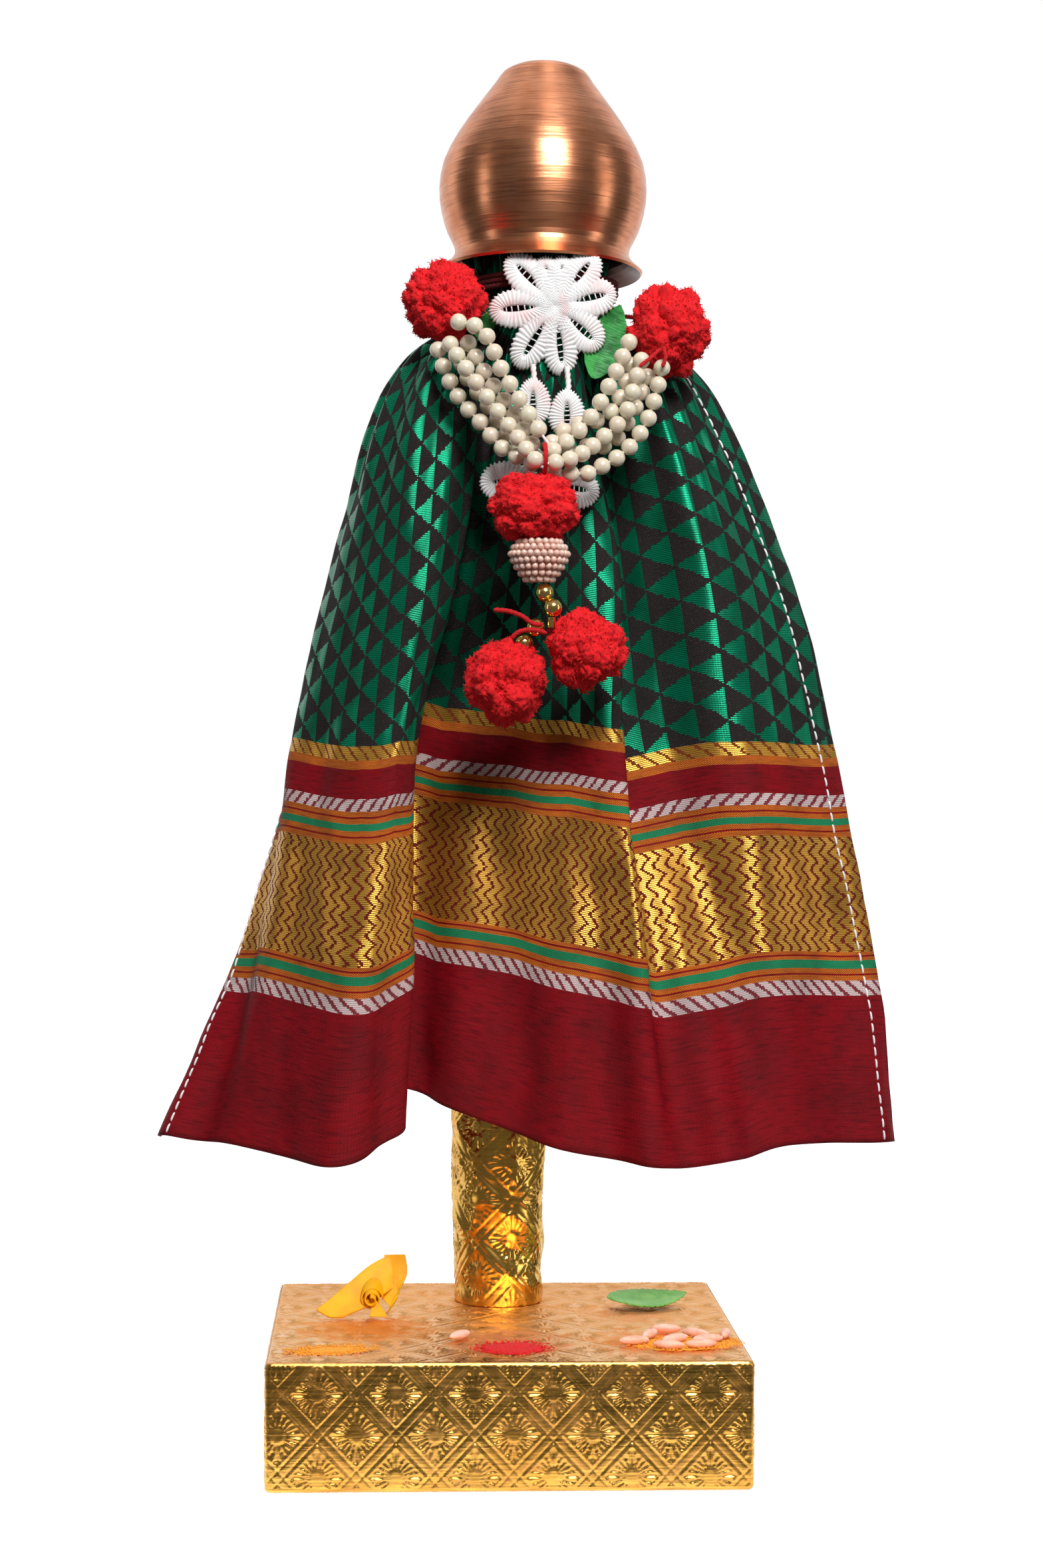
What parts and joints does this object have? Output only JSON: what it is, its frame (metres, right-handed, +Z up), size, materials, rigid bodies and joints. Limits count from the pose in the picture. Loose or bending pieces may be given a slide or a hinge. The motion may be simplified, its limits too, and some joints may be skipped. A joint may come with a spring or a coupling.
{
  "type": "gudi festival standard",
  "caption": "Small gudi: a foil-wrapped pole on a block, draped in a pleated brocade sari, capped by an upturned copper pot, with a pearl and pompom garland.",
  "frame": {"origin": "centre of the wrapped block's underside", "axes": "+X to the right seen from the front, +Y towards the back, +Z up the pole"},
  "size_m": [0.1665, 0.097, 0.3122],
  "materials": {
    "foil": "metallised gold film, embossed and crumpled",
    "wood": "plain",
    "copper": "spun copper, brushed satin",
    "silk": "woven brocade with a maroon and gold border",
    "silk_inside": "woven brocade, inner pleats",
    "stitch_thread": "cotton thread",
    "red_yarn": "fuzzy acrylic yarn",
    "red_thread": "twisted thread",
    "lace": "padded white lace",
    "satin": "green satin",
    "pearl": "pearl lustre",
    "seed_pearl": "pink pearl lustre",
    "bead_body": "plain",
    "gold_bead": "polished gold plate",
    "ribbon": "yellow ribbon",
    "leaf": "fresh leaf",
    "turmeric": "powder",
    "kumkum": "powder",
    "rice": "tinted rice"
  },
  "bodies": {
    "stand": {"base_block": "wood", "base_foil": "foil", "pole_dowel": "wood", "pole_foil": "foil", "drape_cloth": "silk", "cloth_bunch": "silk_inside", "left_edge_stitches": "stitch_thread", "right_edge_stitches": "stitch_thread", "neck_tie": "red_thread", "garland_tie": "red_thread", "lace_flower_upper": "lace", "lace_drop_left": "lace", "lace_drop_right": "lace", "lace_flower_lower": "lace", "satin_leaf_right": "satin", "satin_leaf_left": "satin", "pearl_strand_1": "pearl", "pearl_strand_2": "pearl", "pearl_strand_3": "pearl", "pearl_strand_4": "pearl", "pearl_strand_5": "pearl", "pearl_threads": "stitch_thread", "gather_loop": "red_thread", "left_pompom": "red_yarn", "right_pompom": "red_yarn", "right_pompom_threads": "red_thread", "yellow_ribbon_flower": "ribbon", "green_leaf": "leaf", "turmeric_spot": "turmeric", "kumkum_spot": "kumkum", "rice_grains": "rice"},
    "kalash": {"kalash_pot": "copper"},
    "pendant": {"centre_pompom": "red_yarn", "bead_core": "bead_body", "bead_seed_pearls": "seed_pearl", "gold_bead_upper": "gold_bead", "gold_bead_lower": "gold_bead", "gold_crimp": "gold_bead"},
    "tassel_left": {"tassel_left_beads": "gold_bead", "tassel_left_thread": "red_thread", "tassel_left_pompom": "red_yarn", "yarn_ends": "red_thread"},
    "tassel_right": {"tassel_right_thread": "red_thread", "tassel_right_pompom": "red_yarn"}
  },
  "joints": [
    {"name": "kalash_lift", "type": "slide", "parent": "stand", "child": "kalash", "axis": [0.0157, 0.0611, 0.998], "range_m": [0, 0.06]},
    {"name": "pendant_swing", "type": "hinge", "parent": "stand", "child": "pendant", "pos_m": [0.008, -0.018, 0.2165], "axis": [0, 1, 0], "range_deg": [-12, 12]},
    {"name": "tassel_left_swing", "type": "hinge", "parent": "pendant", "child": "tassel_left", "pos_m": [0.0092, -0.0201, 0.1805], "axis": [0, 1, 0], "range_deg": [0, 25]},
    {"name": "tassel_right_swing", "type": "hinge", "parent": "pendant", "child": "tassel_right", "pos_m": [0.0096, -0.0201, 0.1805], "axis": [0, -1, 0], "range_deg": [0, 25]}
  ]
}
